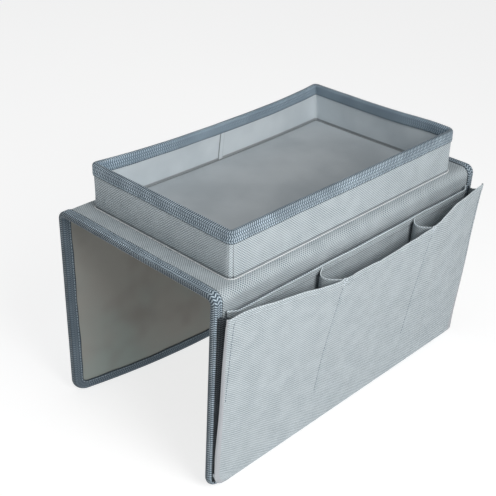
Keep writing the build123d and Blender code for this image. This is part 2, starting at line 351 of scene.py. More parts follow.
# The scale on its lightness paints light or shade onto a copy of the same cloth, and the lines across it are
# painted highlights and painted shade.
def coverFinish(name="coverCloth", paintedLightScale=1.0, lipX=None, lines=(), upright=()):
    finish = Finish(name, Sheen_Weight=0.12, Sheen_Roughness=0.5, Specular_IOR_Level=0.25)
    uv, u, v = finish.place()
    cloudy = finish.noise(uv, 18.0, 3.0)
    fuzzy = finish.noise(uv, 900.0, 2.0)
    dashes = finish.ovals(u, v, coverLook["pitch"], coverLook["dashSize"], 0.5)
    weft = finish.ribs(v, coverLook["threadPitch"])
    warp = finish.ribs(u, coverLook["threadPitch"])
    shown = dashes * finish.spread(finish.noise(uv, 60.0), 0.25, 0.7, 0.7, 1.0)
    light = 0.9 + weft * 0.06 + cloudy * 0.08 + fuzzy * 0.06
    light = light + finish.lines(v, lines) + finish.lines(u, upright)
    color = finish.mixed(shown, coverLook["thread"], coverLook["dash"])
    if lipX:  # the turned-in sides show the cloth's plain back, and more of it towards the foot
        aside = u.maths("ABSOLUTE") + (v - coverLook["lipFoot"]) * coverLook["lipTaper"]
        plain = finish.spread(aside, (lipX - 0.6) * mm, lipX * mm)
        color = finish.mixed(plain * 0.8, color, coverLook["back"])
    color = finish.shaded(color, light * paintedLightScale)
    height = weft * 0.25 + warp * 0.15 - dashes * 0.8 + fuzzy * 0.2
    return finish.done(color, 0.78 + fuzzy * 0.2, height, 0.22)


tapeLook = {
    "base": tone(75, 89, 101),
    "bar": tone(208, 226, 238),
    "barPitch": 0.0021,            # along the tape
    "band": 0.0029,                # a row of bars: they slant one way in it, and the other way in the next
    "slant": 0.55,
    "edge": 0.9,                   # half the width of the painted shade along each edge, in mm
}


def tapeFinish(name, width, foldShade, paintedLightFactor=1.0, inner=(1.0, 1.0)):
    # inner is how much of the bars and of the light is left on the tape's inner half
    finish = Finish(name, Sheen_Weight=0.1, Sheen_Roughness=0.5, Specular_IOR_Level=0.3)
    uv, u, v = finish.place()
    cloudy = finish.noise(uv, 40.0, 3.0)
    fuzzy = finish.noise(uv, 1200.0, 2.0)
    row = v / tapeLook["band"]
    way = row.maths("FLOOR").maths("FLOORED_MODULO", 2.0) * 2.0 - 1.0
    slanted = u + (row.maths("FRACT") - 0.5) * way * (tapeLook["slant"] * tapeLook["band"])
    bars = finish.ribs(slanted, tapeLook["barPitch"])
    between = (row.maths("FRACT") - 0.5).maths("ABSOLUTE")
    inside = [(width / 2 + past) * mm for past in (0.8, 2.4)]
    flecks = finish.spread(bars, 0.35, 0.85) * finish.spread(between, 0.5, 0.36)
    flecks = flecks * finish.spread(v, *inside, 1.0, inner[0])
    shown = flecks * finish.spread(cloudy, 0.3, 0.7, 0.6, 1.0)
    color = finish.mixed(shown, tapeLook["base"], tapeLook["bar"])
    # painted shade along both edges of the tape, and a line of painted shade along the middle of its fold
    marks = [(place, tapeLook["edge"], -0.42) for place in (0.3, width - 0.3)]
    marks.append((width / 2, *foldShade))
    light = 0.86 + cloudy * 0.16 + fuzzy * 0.12 + finish.lines(v, marks)
    light = light * finish.spread(v, *inside, 1.0, inner[1])
    # the scale on all its light is painted light or painted shade on a copy of the same tape
    color = finish.shaded(color, light * paintedLightFactor)
    return finish.done(color, 0.72 + fuzzy * 0.2, flecks + fuzzy * 0.2, 0.25)


liningLook = {
    "base": tone(154, 153, 148),
    "patch": tone(147, 156, 152),
    "worn": tone(130, 125, 120),
    "dotPitch": (0.0016, 0.0008),
    "dotSize": (0.00042, 0.00036),
}


def liningFinish():
    finish = Finish("liningCloth", Sheen_Weight=0.05, Specular_IOR_Level=0.25)
    uv, u, v = finish.place()
    large = finish.noise(uv, 9.0, 2.0, 0.55)
    other = finish.noise(uv, 16.0, 2.0, 0.6)
    fuzzy = finish.noise(uv, 1500.0, 2.0)
    dots = finish.ovals(u, v, liningLook["dotPitch"], liningLook["dotSize"], 0.5)
    color = finish.mixed(finish.spread(large, 0.4, 0.65), liningLook["base"], liningLook["patch"])
    color = finish.mixed(finish.spread(other, 0.45, 0.75, 0.0, 0.6), color, liningLook["worn"])
    color = finish.shaded(color, 0.94 + fuzzy * 0.12 - dots * 0.06)
    return finish.done(color, 0.82 + fuzzy * 0.15, fuzzy * 0.3 - dots * 0.5 + other * 0.8, 0.15)


trayLook = {
    "base": tone(190, 197, 201),
    "dark": tone(172, 180, 185),
    "threadPitch": 0.00045,
}


def trayLiningFinish(name, lines=(), upright=(), paintedLightFactor=1.0):
    finish = Finish(name, Sheen_Weight=0.1, Sheen_Roughness=0.4, Specular_IOR_Level=0.4)
    uv, u, v = finish.place()
    cloudy = finish.noise(uv, 14.0, 3.0)
    fuzzy = finish.noise(uv, 1300.0, 2.0)
    weave = finish.ribs(u, trayLook["threadPitch"]) * 0.5 + finish.ribs(v, trayLook["threadPitch"]) * 0.5
    color = finish.mixed(finish.spread(cloudy, 0.35, 0.7), trayLook["base"], trayLook["dark"])
    light = 0.92 + weave * 0.08 + fuzzy * 0.08 + finish.lines(v, lines) + finish.lines(u, upright)
    # the scale here is painted light on a copy of the lining, and the lines are painted shade
    color = finish.shaded(color, light * paintedLightFactor)
    return finish.done(color, 0.52 + fuzzy * 0.15, weave * 0.6 + fuzzy * 0.3 + cloudy * 2.5, 0.12)


def plainFinish(name, color, other, scale, roughness=0.8, depth=0.1, **constants):
    # small things and hidden boards: two tones clouded over each other, and a fine grain
    finish = Finish(name, **constants)
    where = finish.add("ShaderNodeTexCoord", {}, {}, 3)
    cloudy = finish.noise(where, scale, 4.0, 0.6)
    grain = finish.noise(where, scale * 9, 2.0)
    mixture = finish.mixed(finish.spread(cloudy, 0.3, 0.7), color, other)
    return finish.done(mixture, roughness + grain * 0.1, grain, depth)


# painted highlights along the front pocket's top edge and its hem's edge, and painted shade just under that;
# on the inner pocket a painted highlight along its top edge, and painted shade below it and under its hem
hemHighlightsAndShade = [(0.3, 0.7, 0.22), (4.6, 0.5, 0.16), (5.7, 0.6, -0.14)]
innerHemHighlightsAndShade = [(16.3, 0.9, 0.5), (18.2, 0.8, -0.2), (23.4, 0.6, -0.2)]
finishes = {
    "cover": coverFinish(),
    "pocket": coverFinish("pocketCloth", lipX=168.4, lines=hemHighlightsAndShade),
    "innerPocket": coverFinish("innerPocketCloth", lines=innerHemHighlightsAndShade),
    # the dividers and the right gusset take a shaded copy of the cover cloth: painted shade, with a painted
    # highlight along the top edge
    "web": coverFinish("webPaintedShade", paintedLightScale=0.82, lines=[(0.5, 0.9, 0.5)]),
    # painted shade: the tape's look made very dark, standing for the shade in the gap beside the front pocket
    "gusset": tapeFinish("gussetPaintedShade", 22.0, (11.0, -0.1), 0.24),
    # painted shade along the outside of its fold; on its inner half fewer bars show and it is a little darker
    "tape": tapeFinish("bindingTape", 23.2, (3.0, -0.5), inner=(0.25, 0.92)),
    # a lit copy of the binding tape: painted light over all of it and much more on its inner half, inside the
    # tray, and a faint painted shade along its crest
    "rimTape": tapeFinish("rimTape", 25.0, (1.2, -0.1), 1.12, inner=(0.4, 1.75)),
    "lining": liningFinish(),
    "coverThread": plainFinish("coverThread", tone(216, 224, 228), tone(188, 198, 204), 900.0),
    "seamThread": plainFinish("seamThread", tone(122, 137, 150), tone(98, 112, 126), 900.0),
    "tackThread": plainFinish("tackThread", tone(238, 244, 248), tone(205, 218, 228), 900.0),
    "tapeThread": plainFinish("tapeThread", tone(192, 208, 218), tone(140, 158, 170), 900.0),
    "welt": plainFinish("weltCord", tone(246, 248, 249), tone(232, 236, 238), 600.0, 0.6),
    "board": plainFinish("fibreBoard", tone(141, 118, 92), tone(112, 90, 68), 60.0, 0.85, 0.3),
}
print("materials made:", len(finishes))


# Saddle: its cover and lining, each in a front and a rear half that meet under the tray

saddleCloth = {
    "columns": 100,
    "rows": (24, 14, 62),        # on the panel, round the fold and down the flap
    "hiddenEdge": 0.8,           # how far inside the tape's edge the cloth ends
    "flatEdge": 8.0,             # along its edges, where it doesn't ripple
    "fade": 20.0,                # from there to where it ripples fully
    "ripple": [(0.10, 130.0, 210.0, 0.4), (0.07, 61.0, -97.0, 1.9), (0.05, 37.0, 53.0, 3.1)],
}
sides = {"front": -1, "rear": 1}


def bendAt(piece, end):
    end + "_flap"
    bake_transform(piece)


def saddleSheet(name, side, outward, height):
    half = saddle["sheetHalf"]
    radius = saddle["cornerRadius"] - saddleCloth["hiddenEdge"]
    foot = footRun(side) - saddleCloth["hiddenEdge"]
    across = np.linspace(-half, half, saddleCloth["columns"] + 1)
    along = steps((0, saddle["hingeY"], foldRun(side), foot), saddleCloth["rows"])

    def narrowed(a, b):
        return squeezed(a, half - 2 * radius, cornered(half, radius, b - (foot - radius)), half)

    def shape(a, b):
        rise = waves(a, b, saddleCloth["ripple"])
        for inside in (half - np.abs(a), b, foot - b):
            rise = rise * ease((inside - saddleCloth["flatEdge"]) / saddleCloth["fade"])
        return drape(side, narrowed(a, b), b, height + outward * rise)

    return layGrid(name, across, along, shape, (0, 0, outward), lambda a, b: (narrowed(a, b), side * b),
                   saddle["cloth"])


for end, side in sides.items():
    for layer, outward in (("cover", 1), ("lining", -1)):
        piece = saddleSheet(end + layer.title(), side, outward, outward * saddle["halfThickness"])
        hidden = [end + "_fold_" + layer, end + "_flap_" + layer]
        if end == "front":
            hidden.append("top_panel_" + layer)
        dress(piece, layer, layer + "_cloth", *hidden)
        bendAt(piece, end)
        clothSize(piece)
        end + "_flap_board"
print("saddle cloth laid")


# Binding tape: one length down each half of the saddle's edge, folded over it and sewn through

tape = {
    "width": 10.0,
    "thickness": 0.6,
    "proud": 0.85,               # how far its outside stands off the cloth's face
    "edge": 0.62,                # and at its own edge
    "innerWave": [(0.28, 83.0, 1e9, 0.3), (0.16, 31.0, 1e9, 1.2)],
    "stitchInset": 1.7,          # from the tape's edge
}
threads = {  # a stitch's half length, half width and half height, and the pitch
    "binding": (1.15, 0.26, 0.2, 3.3),
    "traySeam": (0.9, 0.2, 0.16, 2.8),
    "hem": (1.15, 0.26, 0.2, 3.1),
    "seam": (1.2, 0.3, 0.22, 3.3),
    "tack": (1.5, 0.4, 0.32, 3.4),
}


def tapeOutline(side):  # rows of x, run and the way inward, from the middle of one end to the other
    radius, half, foot = saddle["cornerRadius"], saddle["halfLength"], footRun(side)
    runs = steps((0, saddle["hingeY"], foldRun(side), foot - radius), (30, 12, 60))
    turns = [(math.cos(angle), math.sin(angle)) for angle in np.linspace(0, math.pi / 2, 13)]
    leg = [(half, run, -1.0, 0.0) for run in runs[:-1]]
    bend = [(half - radius + radius * x, foot - radius + radius * y, -x, -y) for x, y in turns[:-1]]
    flat = [(x, foot, 0.0, -1.0) for x in np.linspace(half - radius, 0, 55)]
    there = leg + bend + flat
    return np.array(there + [(-x, run, -inX, inRun) for x, run, inX, inRun in there[-2::-1]])


def tapeSection():  # in from the edge and off the middle layer, from its edge on one face round to the other
    half, width = saddle["halfThickness"], tape["width"]
    top = half + tape["proud"]
    face = [(width, half + tape["edge"]), (width - 0.5, half + (tape["edge"] + tape["proud"]) / 2),
            (width - 1.2, top - 0.04), (width - 2.6, top), (width * 0.55, top), (width * 0.4, top),
            (top * 1.05, top * 0.995)]
    nose = [(top * (1 - math.cos(angle)), top * math.sin(angle))
            for angle in np.linspace(math.pi / 2, 0, 6)[1:]]
    upper = face + nose
    return np.array(upper + [(inward, -height) for inward, height in upper[-2::-1]])


def distances(points):  # how far along a line each of its points lies
    gaps = np.linalg.norm(np.diff(points, axis=0), axis=1)
    return np.concatenate([[0], np.cumsum(gaps)])


def makeTape(name, side):
    outline, section = tapeOutline(side), tapeSection()
    lengths, widths = distances(outline[:, :2]), distances(section)

    def shape(a, b):
        place, across = outline[a], section[b]
        inward = across[:, 0] + across[:, 0] / tape["width"] * waves(lengths[a], 0, tape["innerWave"])
        x, run = (place[:, :2] + place[:, 2:] * inward[:, None]).T
        return drape(side, x, run, across[:, 1])

    return layGrid(name, np.arange(len(outline)), np.arange(len(section)), shape, (0, 0, 1),
                   lambda a, b: (lengths[a], widths[b]), tape["thickness"])


def stitchMesh(size):  # one stitch: a small rounded bead of thread, lying along X
    bpy.ops.object.select_all(action="DESELECT")
    bpy.ops.mesh.primitive_uv_sphere_add(segments=8, ring_count=5, radius=1)
    bead = bpy.context.object
    pick(bead)
    bpy.ops.object.mode_set(mode="EDIT")
    bpy.ops.mesh.select_all(action="SELECT")
    bpy.ops.transform.rotate(value=math.pi / 2, orient_axis="Y", center_override=(0, 0, 0))
    bpy.ops.transform.resize(value=size)
    bpy.ops.object.mode_set(mode="OBJECT")
    points = np.array([vertex.co for vertex in bead.data.vertices])
    faces = [list(face.vertices) for face in bead.data.polygons]
    bpy.data.objects.remove(bead)
    return points, faces


def sew(name, rows, thread, finish, slot, body=None):
    # rows are lines of places with the way off the cloth at each, and a stitch goes down at every pitch
    *size, pitch = threads[thread]
    bead, beadFaces = stitchMesh(size)
    points, faces = [], []
    for line, ways in rows:
        lengths = distances(line)
        count = int((lengths[-1] - 2 * size[0]) / pitch)
        starts = (lengths[-1] - count * pitch) / 2 + (np.arange(count) + 0.5) * pitch
        for start in starts:
            middle, before, after, way = [
                np.array([np.interp(start + move, lengths, part[:, axis]) for axis in range(3)])
                for move, part in ((0, line), (-size[0], line), (size[0], line), (0, ways))]
            along = (after - before) / np.linalg.norm(after - before)
            up = way - along * way.dot(along)
            up = up / np.linalg.norm(up)
            beside = np.cross(up, along)
            faces += [[index + len(points) * len(bead) for index in face] for face in beadFaces]
            points.append(middle + bead @ np.array([along, beside, up]))
    mesh = bpy.data.meshes.new(name)
    mesh.from_pydata((np.concatenate(points) * mm).tolist(), [], faces)
    mesh.update()
    piece = bpy.data.objects.new(name, mesh)
    bpy.context.scene.collection.objects.link(piece)
    smooth(piece, 60)
    dress(piece, finish, slot, body=body)
    return piece


def stitchRow(place, height, up=1):  # a line of places at a height, and the way off the cloth at each
    line, above = [np.stack(place(level), axis=1) for level in (height, height + up)]
    return line, above - line


def tapeStitchRows(side):
    outline = tapeOutline(side)
    x, run = (outline[:, :2] + outline[:, 2:] * (tape["width"] - tape["stitchInset"])).T
    top = saddle["halfThickness"] + tape["proud"]
    return [stitchRow(lambda height: drape(side, x, run, height), face * top, face) for face in (1, -1)]


for end, side in sides.items():
    binding = makeTape(end + "Binding", side)
    hidden = [end + "_fold_binding", end + "_flap_binding"]
    if end == "front":
        hidden += ["left_end_binding", "right_end_binding"]
    dress(binding, "tape", "binding_tape", *hidden)
    stitches = sew(end + "BindingStitches", tapeStitchRows(side), "binding", "tapeThread", "binding_tape")
    bendAt(binding, end)
    bendAt(stitches, end)
    clothSize(binding)
    end + "Cover"
print("binding tape folded round both halves")


# Tray: walls of cover cloth and lining over four boards, bound round the rim

outerLow, outerHigh = boxOf("tray_outer_cover")
rimLow, rimHigh = boxOf("tray_rim_binding")
floorLow, floorHigh = boxOf("tray_floor_lining")
seamLow, seamHigh = boxOf("tray_lining_seam_tape")
tray = {
    "reachX": outerHigh.x,
    "reachY": (outerHigh.y - outerLow.y) / 2,
    "middleY": (outerHigh.y + outerLow.y) / 2,
    "baseZ": outerLow.z,
    "wallTopZ": outerHigh.z,
    "cornerRadii": (7.2, 9.5, 6.7, 6.9, 0),      # rear right, front right, front left, rear left, none
    "legCuts": (30, 32, 60, 32, 30),
    "cornerCuts": 10,
    "wall": 3.6,
    "boardRounding": 0.4,
    "cloth": 0.8,
    "lean": 1.75,                 # how far the walls have settled inward at the rim
    "rearBow": (-3.6, 7.0, 3.6),  # at the rim: the rear wall's middle moved in, and its ends moved out
    "rearFoot": (0.0, 2.4, 1.6),  # the same at its foot
    "rightBow": (-1.2, 4.6, -64.0, 36.0),   # at the rim: along the wall, and a hill of a height, y and width
    "rightCorner": 1.6,           # the whole front right corner moved out
    "wallWave": [(0.22, 8, 300.0, 0.5), (0.14, 16, -140.0, 2.2), (0.08, 32, 61.0, 4.0)],
}


def trayLoop():  # rows of x, y and the way outward round the tray's outside, from the middle of the rear
    halfX, halfY = tray["reachX"], tray["reachY"]
    corners = [(halfX, halfY), (halfX, -halfY), (-halfX, -halfY), (-halfX, halfY), None]
    rows = []
    start = (0, halfY)
    for corner, radius, turn, cuts in zip(corners, tray["cornerRadii"], range(5), tray["legCuts"]):
        ways = [(math.cos(angle), math.sin(angle))
                for angle in np.radians(90 - 90 * turn - 90 * np.linspace(0, 1, tray["cornerCuts"] + 1))]
        bend = [(0, halfY)]
        if corner:
            centre = [size - math.copysign(radius, size) for size in corner]
            bend = [(centre[0] + radius * x, centre[1] + radius * y) for x, y in ways]
        for share in np.linspace(0, 1, cuts + 1):
            rows.append((*[between(low, high, share) for low, high in zip(start, bend[0])], *ways[0]))
        rows += [(*place, *way) for place, way in zip(bend[1:-1], ways[1:-1])]
        start = bend[-1]
    return np.array(rows) + [0, tray["middleY"], 0, 0]


def rimShare(z):  # from 0 at the walls' base to 1 at the rim
    return (z - tray["baseZ"]) / (rimHigh.z - tray["baseZ"])


def settled(x, y, z):  # the tray out of true, as soft walls are: every piece of it goes through here
    up = rimShare(z)
    fromFront = ease((y - tray["middleY"]) / (2 * tray["reachY"]) + 0.5)
    fromLeft = ease(x / (2 * tray["reachX"]) + 0.5)
    share = (x / tray["reachX"]) ** 2
    rim, foot = [middle + share * ends + share ** 2 * corners
                 for middle, ends, corners in (tray["rearBow"], tray["rearFoot"])]
    along, size, middle, width = tray["rightBow"]
    right = (along + size * hill(y, middle, width)) * up + tray["rightCorner"] * (1 - fromFront)
    return x + right * fromLeft, y + between(foot, rim, up) * fromFront, z


loop = trayLoop()
loopLengths = distances(loop[:, :2])
around = np.arange(len(loop))
jointU = loopLengths[np.argmin(loop[:, 0] + loop[:, 1])]        # where the walls' cover is joined, front left
# a painted highlight down the joined corner, with a dark seam line on each side
jointHighlightAndSeam = [(jointU, 1.6, 0.14), (jointU - 2.2, 0.5, -0.4), (jointU + 2.2, 0.4, -0.25)]
# painted shade along both edges of the seam strip, more on one side
seamStripShade = [(seamLow.x + 0.3, 0.6, -0.6), (seamHigh.x - 0.3, 0.4, -0.12)]
# painted shade round the floor's edge, where it meets the walls
floorEdgeShade = [[(low + 0.6, 1.5, -0.45), (high - 0.6, 1.5, -0.45)]
           for low, high in ((floorLow.y, floorHigh.y), (floorLow.x, floorHigh.x))]
finishes |= {
    # the tray's outer wall is a lit copy of the cover cloth, which is painted light, with painted shade in a
    # line just above the welt
    "trayWall": coverFinish("trayWallPaintedLight", 1.09, lines=[(5.9, 0.9, -0.5)], upright=jointHighlightAndSeam),
    # the wall lining and its seam strip are lit copies of the floor's lining, which is painted light, with
    # painted shade where the wall meets the floor
    "trayWallLining": trayLiningFinish("trayWallLiningPaintedLight", [(floorHigh.z + 0.4, 1.1, -0.45)], (), 1.45),
    "trayFloor": trayLiningFinish("trayFloorCloth", *floorEdgeShade),
    "traySeam": trayLiningFinish("traySeamPaintedLight", (), seamStripShade, 1.45),
}


def onWall(a, outward, z):  # a place off the wall's outer face, round the loop at a height
    off = outward - tray["lean"] * rimShare(z)
    return settled(loop[a, 0] + loop[a, 2] * off, loop[a, 1] + loop[a, 3] * off, z)


def wallCloth(a, b):
    return loopLengths[a], b


def roundWaves(a, z, rows):  # waves that meet where the loop closes: (height, how many, length in z, start)
    turns = loopLengths[a] / loopLengths[-1]
    return waves(turns, z, [(height, 1 / count, alongZ, start) for height, count, alongZ, start in rows])


def wallWave(a, z):  # dies out at the base, where the wall is sewn down, and inside the rim's tape
    wave = roundWaves(a, z, tray["wallWave"])
    return wave * ease((z - tray["baseZ"]) / 12) * ease((rimLow.z + 6 - z) / 14)


def wallSheet(name, share, outward, facing):  # share is how much of the outer wall's wave it follows
    return layGrid(name, around, np.linspace(tray["baseZ"] + 0.1, tray["wallTopZ"], 15),
                   lambda a, z: onWall(a, wallWave(a, z) * share + outward, z), facing, wallCloth,
                   tray["cloth"], closed=True)


outerWall = wallSheet("trayOuterCover", 1.0, 0, (0, 1, 0))
dress(outerWall, "trayWall", "cover_cloth", "tray_outer_cover", body="saddle")
innerWall = wallSheet("trayWallLining", 0.6, -tray["wall"], (0, -1, 0))
dress(innerWall, "trayWallLining", "tray_lining_cloth", "tray_wall_lining", body="saddle")

rim = {
    "depth": rimHigh.z - rimLow.z,
    "proud": 0.85,
    "edge": 0.62,
    "wave": [(0.15, 6, 1e9, 1.1), (0.08, 20, 1e9, 0.2), (0.05, 48, 1e9, 2.0)],
    "droop": [(0.21, 5, 1e9, 0.0), (0.09, 15, 1e9, 1.0)],
    "stitchInset": 1.5,
}


def rimSection():  # off the wall's outer face, and below the rim's top, from the outside over to the inside
    middle, depth = tray["wall"] / 2, rim["depth"]
    half, edge = middle + rim["proud"], middle + rim["edge"]
    side = [(edge, depth), ((edge + half) / 2, depth - 0.5), (half - 0.03, depth - 1.2), (half, depth * 0.7),
            (half, depth * 0.45)]
    arch = [(half * math.cos(angle), half - half * math.sin(angle)) for angle in np.linspace(0, math.pi, 13)]
    return np.array(side + arch + [(-out, drop) for out, drop in side[::-1]]) - [middle, 0]


rimPoints = rimSection()
rimWidths = distances(rimPoints)


def rimShape(a, b):
    off, drop = rimPoints[b].T
    z = rimHigh.z - drop - drop / rim["depth"] * roundWaves(a, 0, rim["droop"])
    return onWall(a, off + roundWaves(a, 0, rim["wave"]), z)


def rimStitchRows():
    wander = roundWaves(around, 0, rim["wave"])
    z = rimLow.z + rim["stitchInset"] - roundWaves(around, 0, rim["droop"])
    return [stitchRow(lambda height: onWall(around, height + wander, z), height, up)
            for height, up in ((rim["proud"], 1), (-tray["wall"] - rim["proud"], -1))]


rimTape = layGrid("trayRimBinding", around, np.arange(len(rimPoints)), rimShape, (0, 1, 0),
                  lambda a, b: (loopLengths[a], rimWidths[b]), tape["thickness"], closed=True)
dress(rimTape, "rimTape", "binding_tape", "tray_rim_binding", body="saddle")
rimStitches = sew("trayRimStitches", rimStitchRows(), "binding", "tapeThread", "binding_tape", "saddle")

welt = {"radius": 0.44, "off": 0.42, "cuts": 8}


def weltShape(a, b):
    angle = b * 2 * math.pi / welt["cuts"]
    off = welt["off"] + welt["radius"] * np.cos(angle)
    return onWall(a, off, tray["baseZ"] + welt["radius"] * (1 + np.sin(angle)))


weltCord = layGrid("trayBaseWelt", around, np.arange(welt["cuts"] + 1), weltShape, (0, 1, 0), wallCloth,
                   closed=True)
smooth(weltCord, 60)
dress(weltCord, "welt", "cover_cloth", "tray_base_welt", body="saddle")

trayFloor = {
    "radius": 2.4,
    "edge": 8.0,                 # the border with closer rows
    "edgeDrop": 0.35,
    "fade": 6.0,                 # from its edge to where it lies fully up
    "thickness": 0.6,
    "wave": [(0.16, 190.0, 150.0, 0.7), (0.1, 83.0, -71.0, 2.6)],
}


def floorShape(a, b):
    halfX, halfY = (floorHigh.x - floorLow.x) / 2, (floorHigh.y - floorLow.y) / 2
    y = b - (floorHigh.y + floorLow.y) / 2
    radius = trayFloor["radius"]
    x = squeezed(a, halfX - 2 * radius, cornered(halfX, radius, np.abs(y) - (halfY - radius)), halfX)
    inside = ease(np.minimum(halfX - np.abs(x), halfY - np.abs(y)) / trayFloor["fade"])
    z = floorHigh.z - trayFloor["edgeDrop"] * (1 - inside) + inside * waves(a, b, trayFloor["wave"])
    return settled(x, b, z)


floorX, floorY = [steps((low, low + trayFloor["edge"], high - trayFloor["edge"], high), (8, cuts, 8))
                  for low, high, cuts in ((floorLow.x, floorHigh.x, 60), (floorLow.y, floorHigh.y, 36))]
floorCloth = layGrid("trayFloorLining", floorX, floorY, floorShape, (0, 0, 1), None, trayFloor["thickness"])
dress(floorCloth, "trayFloor", "tray_lining_cloth", "tray_floor_lining", body="saddle")

seamStrip = {"crown": 0.25, "flat": 1.4, "half": 2.2, "off": 0.3, "thickness": 0.3}


def seamShape(a, z):  # a narrow strip over the lining's joint, half way along the inner rear wall
    crown = seamStrip["crown"] * ease(seamStrip["flat"] - np.abs(a) / seamStrip["half"])
    return settled(a, seamHigh.y - seamStrip["off"] - crown - tray["lean"] * rimShare(z), z)


seamTape = layGrid("trayLiningSeam", np.linspace(seamLow.x, seamHigh.x, 9),
                   np.linspace(seamLow.z + seamStrip["off"], seamHigh.z, 20), seamShape, (0, -1, 0), None,
                   seamStrip["thickness"])
dress(seamTape, "traySeam", "tray_lining_cloth", "tray_lining_seam_tape", body="saddle")
heights = np.linspace(seamLow.z + 1, seamHigh.z - 1, 12)
traySeamRows = [(np.stack(seamShape(np.full(12, x), heights), axis=1), np.tile([0.0, -1.0, 0.0], (12, 1)))
                for x in (seamLow.x + 1, seamHigh.x - 1)]
seamStitches = sew("traySeamStitches", traySeamRows, "traySeam", "coverThread", "tray_lining_cloth", "saddle")


def leanBoard(name, node, way):  # a wall board, its upper edge moved in with the settled wall
    low, high = boxOf(node)
    bpy.ops.object.select_all(action="DESELECT")
    bpy.ops.mesh.primitive_cube_add(size=1)
    piece = bpy.context.object
    piece.name = piece.data.name = name
    piece.data.transform(Matrix.LocRotScale((low + high) / 2 * mm, None, (high - low) * mm))
    bpy.ops.object.mode_set(mode="EDIT")
    bpy.ops.mesh.select_all(action="SELECT")
    bpy.ops.mesh.bevel(offset=tray["boardRounding"] * mm, segments=2, affect="EDGES")
    bpy.ops.mesh.subdivide(number_cuts=5)
    bpy.ops.object.mode_set(mode="OBJECT")
    for vertex in piece.data.vertices:
        x, y, z = vertex.co / mm
        lean = tray["lean"] * rimShare(z)
        vertex.co = Vector(settled(x - way[0] * lean, y - way[1] * lean, z)) * mm
    smooth(piece)
    dress(piece, "board", "stiffener_board", node, body="saddle")


for wall, way in (("front", (0, -1)), ("rear", (0, 1)), ("left", (-1, 0)), ("right", (1, 0))):
    leanBoard("tray" + wall.title() + "Board", "tray_" + wall + "_board", way)

clothSize(outerWall)
clothSize(innerWall)
clothSize(rimTape)
clothSize(floorCloth)
print("tray built")


# Pockets on the front flap. A stand-off is how far cloth stands out from the flap's cover, and a drop is
# how far it lies below the top of the panel, both taken as if the flap hung straight.

pocket = {
    "clothFaceY": -saddle["hingeY"] - (saddle["topZ"] - saddle["hingeZ"]),
    "reach": boxOf("front_pocket_panel")[1].x,
    "footDrop": 195.0,
    "footRise": {-1: 1.6, 1: 3.6},       # how far each end of its foot is drawn up
    "edges": {-1: 171.5, 1: 175.5},      # how far its two side edges lie from the middle
    "footStandOff": 4.3,
    "sideStandOff": 13.7,
    "dividerStandOff": 29.0,
    "middleStandOffs": (23.2, 25.52, 23.2),
    "dividers": (-54.25, 73.5),
    "edgeDrop": 11.0,
    "mouth": [  # how low its edge hangs: x, drop
        (-174.0, 15.5), (-166.0, 12.5), (-150.0, 11.2), (-120.0, 14.2), (-95.0, 17.0), (-64.0, 22.2),
        (-50.0, 23.8), (-30.0, 26.0), (0.0, 27.4), (28.0, 28.0), (56.0, 23.4), (80.0, 19.6), (96.0, 15.2),
        (112.0, 11.6), (140.0, 11.0), (164.0, 12.6), (174.0, 15.0),
    ],
    "cornerRadii": {-1: 15.0, 1: 3.0},
    "hem": 7.0,
    "hemThickness": 0.5,
    "hemStep": 0.6,               # over which the cloth rises to its hem
    "cloth": 0.9,
}
pocket["stations"] = (-pocket["reach"], *pocket["dividers"], pocket["reach"])


def hung(x, standOff, drop):
    lean = saddle["lean"][-1]
    y = pocket["clothFaceY"] - standOff + saddle["hingeY"]
    z = saddle["topZ"] - drop - saddle["hingeZ"]
    return np.broadcast_arrays(x, -saddle["hingeY"] + y * math.cos(lean) - z * math.sin(lean),
                               saddle["hingeZ"] + y * math.sin(lean) + z * math.cos(lean))


def arcs(x, ends, middles):  # a line of arcs over the stations, each through its middle
    stations = pocket["stations"]
    result = np.zeros(np.shape(x))
    for start, end, low, middle, high in zip(stations, stations[1:], ends, middles, ends[1:]):
        share = (np.asarray(x) - start) / (end - start)
        curve = low * (1 - share) * (1 - 2 * share) + middle * 4 * share * (1 - share)
        curve = curve + high * share * (2 * share - 1)
        result = np.where((share >= 0) & (share <= 1), curve, result)
    return result


def mouthStandOff(x):
    atSide, atDivider = pocket["sideStandOff"], pocket["dividerStandOff"]
    return arcs(x, (atSide, atDivider, atDivider, atSide), pocket["middleStandOffs"])


def mouthDrop(x):
    return profile(x, pocket["mouth"], 13.0)


def panelStandOff(x, drop):
    return between(pocket["footStandOff"], mouthStandOff(x), 1 - drop / pocket["footDrop"])


innerReach = boxOf("inner_pocket_panel")[1].x
innerPocket = {
    "drop": 16.0,
    "footDrop": 184.0,
    "slackDrop": 120.0,
    "reach": innerReach,
    "flatReach": innerReach - 9.0,
    "standOff": 6.2,
    "sewnStandOff": 2.0,
    "closedStandOff": 2.2,
    "cloth": 0.9,
    "wave": [(0.25, 150.0, 400.0, 0.9), (0.18, 64.0, 220.0, 2.4)],
    "waveFade": 60.0,             # above where it stops hanging slack
}


def innerStandOff(x, drop):
    slack = innerPocket["slackDrop"]
    down = ease((drop - slack) / (innerPocket["footDrop"] - slack))
    out = between(innerPocket["standOff"], innerPocket["closedStandOff"], down)
    side = ease((innerPocket["reach"] - np.abs(x)) / (innerPocket["reach"] - innerPocket["flatReach"]))
    free = waves(x, drop, innerPocket["wave"]) * ease((slack - drop) / innerPocket["waveFade"]) * side
    return between(innerPocket["sewnStandOff"], out, side) + free


def innerShape(a, b):
    hem = pocket["hemThickness"] * ease((innerPocket["drop"] + pocket["hem"] - b) / pocket["hemStep"])
    return hung(a, innerStandOff(a, b) + hem, b)


